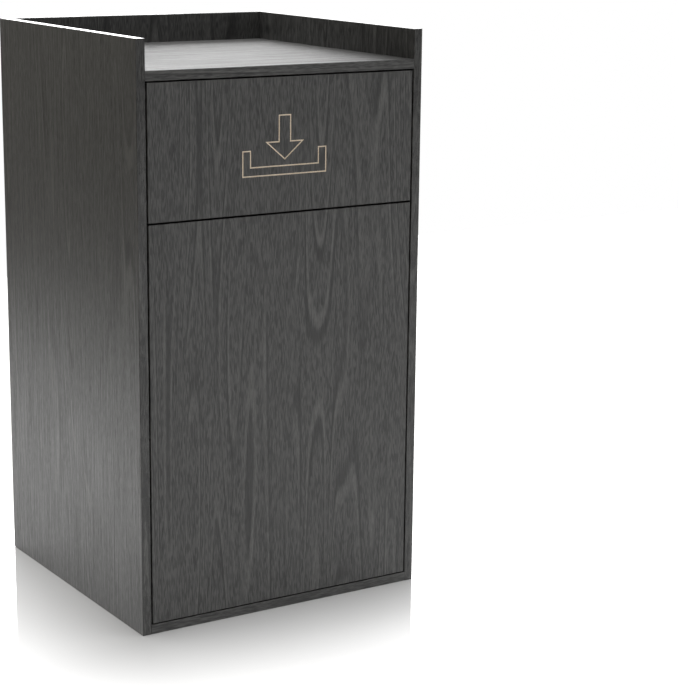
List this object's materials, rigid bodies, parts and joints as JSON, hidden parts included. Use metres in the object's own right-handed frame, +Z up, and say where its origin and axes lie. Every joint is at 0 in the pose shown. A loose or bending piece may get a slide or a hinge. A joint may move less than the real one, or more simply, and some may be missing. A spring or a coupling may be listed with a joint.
{
  "type": "trash can cabinet",
  "caption": "Free-standing litter cabinet in dark oak-grain board: shallow tray top, push-in flap above a door on concealed hinges, open space inside for a can.",
  "frame": {"origin": "on the floor at the middle of the cabinet's footprint", "axes": "+X to the right seen from the front, +Y to the back, +Z up; the door and flap face -Y"},
  "size_m": [0.6, 0.59, 1.09],
  "materials": {
    "oak_melamine_board": "dark oak-grain melamine on particle board, satin",
    "edge_band": "dark oak-grain edge band, satin",
    "beech_dowel": "bare beech",
    "zinc_cam": "die-cast zinc",
    "zinc_plated_steel": "zinc plated",
    "nickel_plated_steel": "nickel plated, satin",
    "nylon": "moulded black nylon",
    "catch_plastic": "moulded white plastic",
    "ferrite_magnet": "sintered ferrite",
    "plated_strike_steel": "zinc plated, pale"
  },
  "bodies": {
    "carcass": {"back_panel": "oak_melamine_board", "back_panel_cam_bolts": "zinc_plated_steel", "back_panel_cams": "zinc_cam", "back_panel_dowels": "beech_dowel", "back_panel_edge_band": "edge_band", "bottom_panel": "oak_melamine_board", "bottom_panel_cam_bolts": "zinc_plated_steel", "bottom_panel_cams": "zinc_cam", "bottom_panel_dowels": "beech_dowel", "bottom_panel_edge_band": "edge_band", "catch_body": "catch_plastic", "catch_magnet": "ferrite_magnet", "catch_pole_plates": "plated_strike_steel", "catch_screws": "zinc_plated_steel", "flap_pivot_bush_left": "nylon", "flap_pivot_bush_right": "nylon", "hinge_arm_lower": "nickel_plated_steel", "hinge_arm_screws_lower": "zinc_plated_steel", "hinge_arm_screws_upper": "zinc_plated_steel", "hinge_arm_upper": "nickel_plated_steel", "hinge_plate_lower": "nickel_plated_steel", "hinge_plate_screws_lower": "zinc_plated_steel", "hinge_plate_screws_upper": "zinc_plated_steel", "hinge_plate_upper": "nickel_plated_steel", "left_side_edge_bands": "edge_band", "left_side_panel": "oak_melamine_board", "right_side_edge_bands": "edge_band", "right_side_panel": "oak_melamine_board", "top_panel": "oak_melamine_board", "top_panel_cam_bolts": "zinc_plated_steel", "top_panel_cams": "zinc_cam", "top_panel_dowels": "beech_dowel", "top_panel_edge_band": "edge_band"},
    "flap": {"flap_edge_bands": "edge_band", "flap_panel": "oak_melamine_board", "flap_pivot_pin_left": "zinc_plated_steel", "flap_pivot_pin_right": "zinc_plated_steel"},
    "door": {"door_edge_bands": "edge_band", "door_panel": "oak_melamine_board", "hinge_cup_lower": "nickel_plated_steel", "hinge_cup_screws_lower": "zinc_plated_steel", "hinge_cup_screws_upper": "zinc_plated_steel", "hinge_cup_upper": "nickel_plated_steel", "hinge_pin_lower": "nickel_plated_steel", "hinge_pin_upper": "nickel_plated_steel", "strike_plate": "plated_strike_steel", "strike_screws": "zinc_plated_steel"}
  },
  "joints": [
    {"name": "door_swing", "type": "hinge", "parent": "carcass", "child": "door", "pos_m": [-0.265, -0.2861, 0.3915], "axis": [0, 0, -1], "range_deg": [0, 105]},
    {"name": "flap_swing", "type": "hinge", "parent": "carcass", "child": "flap", "pos_m": [0, -0.286, 0.9955], "axis": [-1, 0, 0], "range_deg": [-85, 125]}
  ]
}
